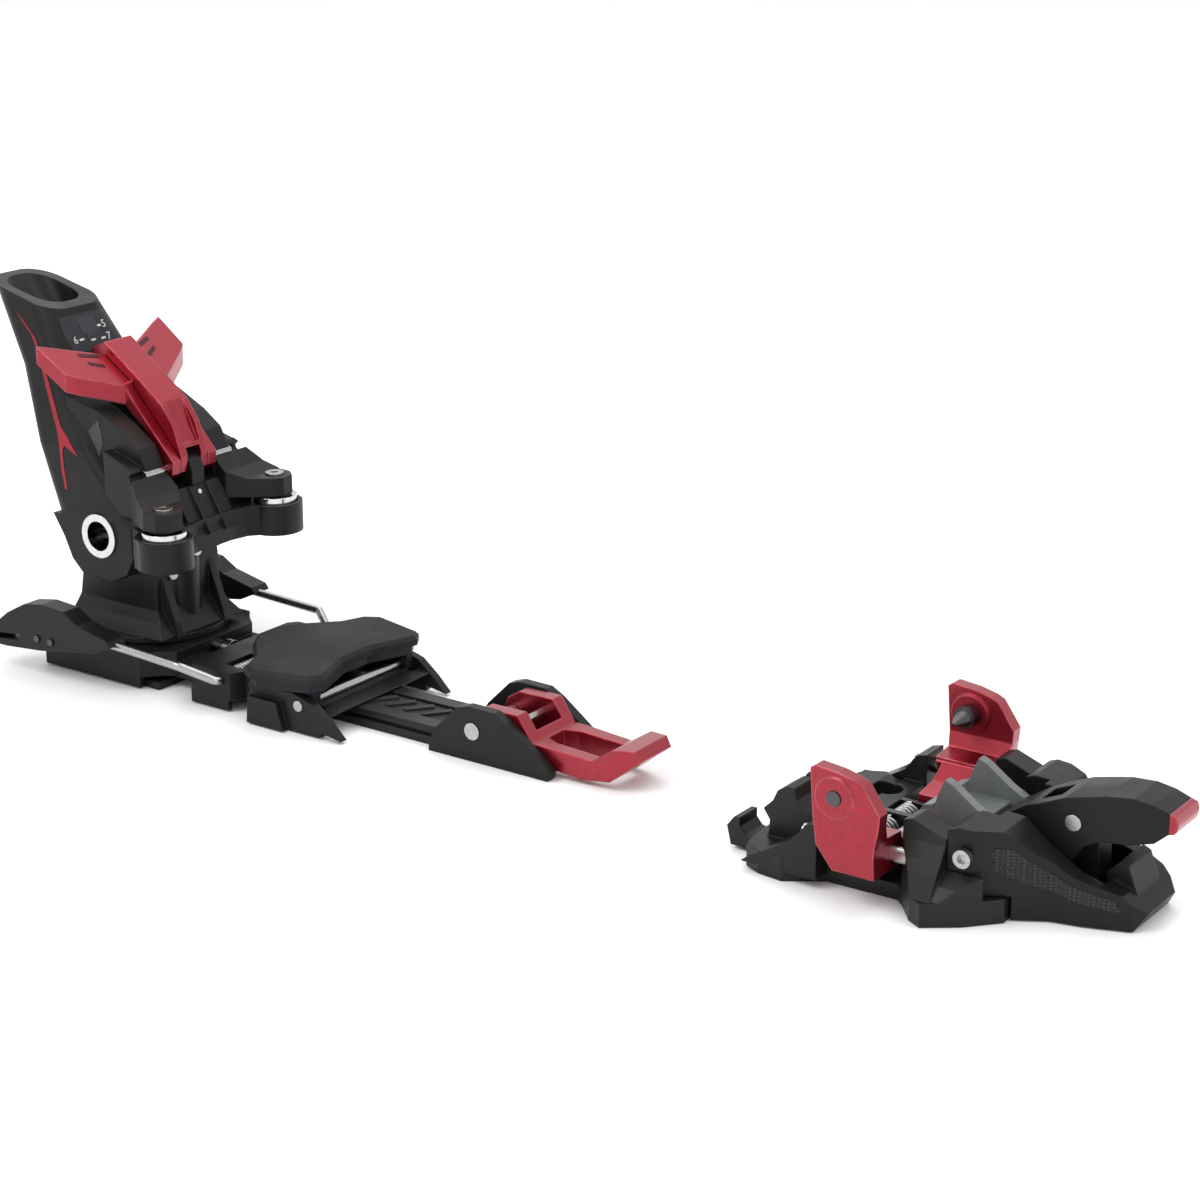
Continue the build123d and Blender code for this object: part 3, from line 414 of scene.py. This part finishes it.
# shallow pockets in the finger tabs, painted dark red as painted shade: where each begins and ends across the
# ski
POCKETS = ((10.0, 18.0), (11.5, 17.0))
POCKET_SLANT = 2.4
for side, name in ((-1, "right"), (1, "left")):
    backward = (-side * 1.0, 0.0, 0.0)
    for piece, node, points, paint, cell in (
        ("flash", "heel_housing", flash, "red", 1.2),
        ("patch", "heel_housing", patch, "grey_scales", 1.2),
        ("grip", "toe_cowl", grip, "scales", 2.0),
    ):
        drawn = outline([(-side * x, z) for x, z in points], cell)
        lay_on(f"{piece}_{name}", node, drawn, (0, 0, 0), backward, (0, 0, 1), ink[paint])
    for index, (near, far) in enumerate(POCKETS):
        x = -333.2 - 0.30 * near + 4.6 * index
        pocket = [
            (side * near, -x - 0.9),
            (side * far, POCKET_SLANT - x - 0.9),
            (side * far, POCKET_SLANT - x + 0.7),
            (side * near, -x + 0.7),
        ]
        lay_on(
            f"pocket_{name}_{index}",
            f"low_aid_{name}",
            outline(pocket, 1.0),
            (0, 0, 100),
            (0.0, 1.0, 0.0),
            (-1.0, 0.0, 0.0),
            ink["pocket"],
            0.06,
        )

# small white dot on the lug between the rollers
DOT_R = 0.9
turns = [step * math.pi / 6 for step in range(12)]
dot = [(DOT_R * math.cos(turn), DOT_R * math.sin(turn) + 0.2) for turn in turns]
LUG = (-300.0, 0.0, 69.0)
LUG_UP = (-6.0, 0, 16.0)
lay_on("white_dot", "roller_jaw", outline(dot, 0.6), LUG, (0, 1, 0), LUG_UP, ink["white"])

# ---------------------------------------------------------------- floor, lights, camera
FLOOR_REACH = 40
FLOOR_Z = -0.0002
floor_corners = [
    (-FLOOR_REACH, -FLOOR_REACH, FLOOR_Z),
    (FLOOR_REACH, -FLOOR_REACH, FLOOR_Z),
    (FLOOR_REACH, FLOOR_REACH, FLOOR_Z),
    (-FLOOR_REACH, FLOOR_REACH, FLOOR_Z),
]
floor_mesh = bpy.data.meshes.new("floor")
floor_mesh.from_pydata(floor_corners, [], [(0, 1, 2, 3)])
floor = bpy.data.objects.new("floor", floor_mesh)
bpy.context.scene.collection.objects.link(floor)
ground = Shader("ground")
paper = ground.mix(ground.noise(3.0), [0.93, 0.93, 0.93, 1.0], [0.95, 0.95, 0.95, 1.0])
ground.set(Base_Color=paper, Roughness=0.9)
floor_mesh.materials.append(ground.material)

world = bpy.data.worlds.new("studio")
bpy.context.scene.world = world
world.use_nodes = True
world.node_tree.nodes["Background"].inputs[0].default_value = (1.0, 1.0, 1.0, 1.0)
world.node_tree.nodes["Background"].inputs[1].default_value = 1.02
bpy.context.scene.view_settings.view_transform = "Standard"

LAMPS_AIM = Vector((-0.15, 0.0, 0.05))


def softbox(name, place, width, height, power):
    lamp = bpy.data.lights.new(name, "AREA")
    lamp.shape = "RECTANGLE"
    lamp.size = width
    lamp.size_y = height
    lamp.energy = power
    thing = bpy.data.objects.new(name, lamp)
    thing.location = place
    thing.rotation_euler = (LAMPS_AIM - Vector(place)).to_track_quat("-Z", "Y").to_euler()
    bpy.context.scene.collection.objects.link(thing)


softbox("key", (-0.6, -0.8, 1.2), 0.8, 0.6, 7)
softbox("top", (0.1, 0.5, 1.5), 1.2, 0.7, 5)
softbox("rim", (-1.1, 0.9, 1.5), 0.6, 0.9, 4)
softbox("fill", (1.3, -0.6, 0.9), 0.8, 0.8, 3)

camera_data = bpy.data.cameras.new("camera")
camera_data.sensor_width = 36.0
camera_data.lens = 79.8
camera = bpy.data.objects.new("camera", camera_data)
camera.location = (0.3654, -0.6878, 0.3386)
camera.rotation_euler = Euler((math.radians(71.77), 0.0, math.radians(35.09)), "XYZ")
bpy.context.scene.collection.objects.link(camera)
bpy.context.scene.camera = camera
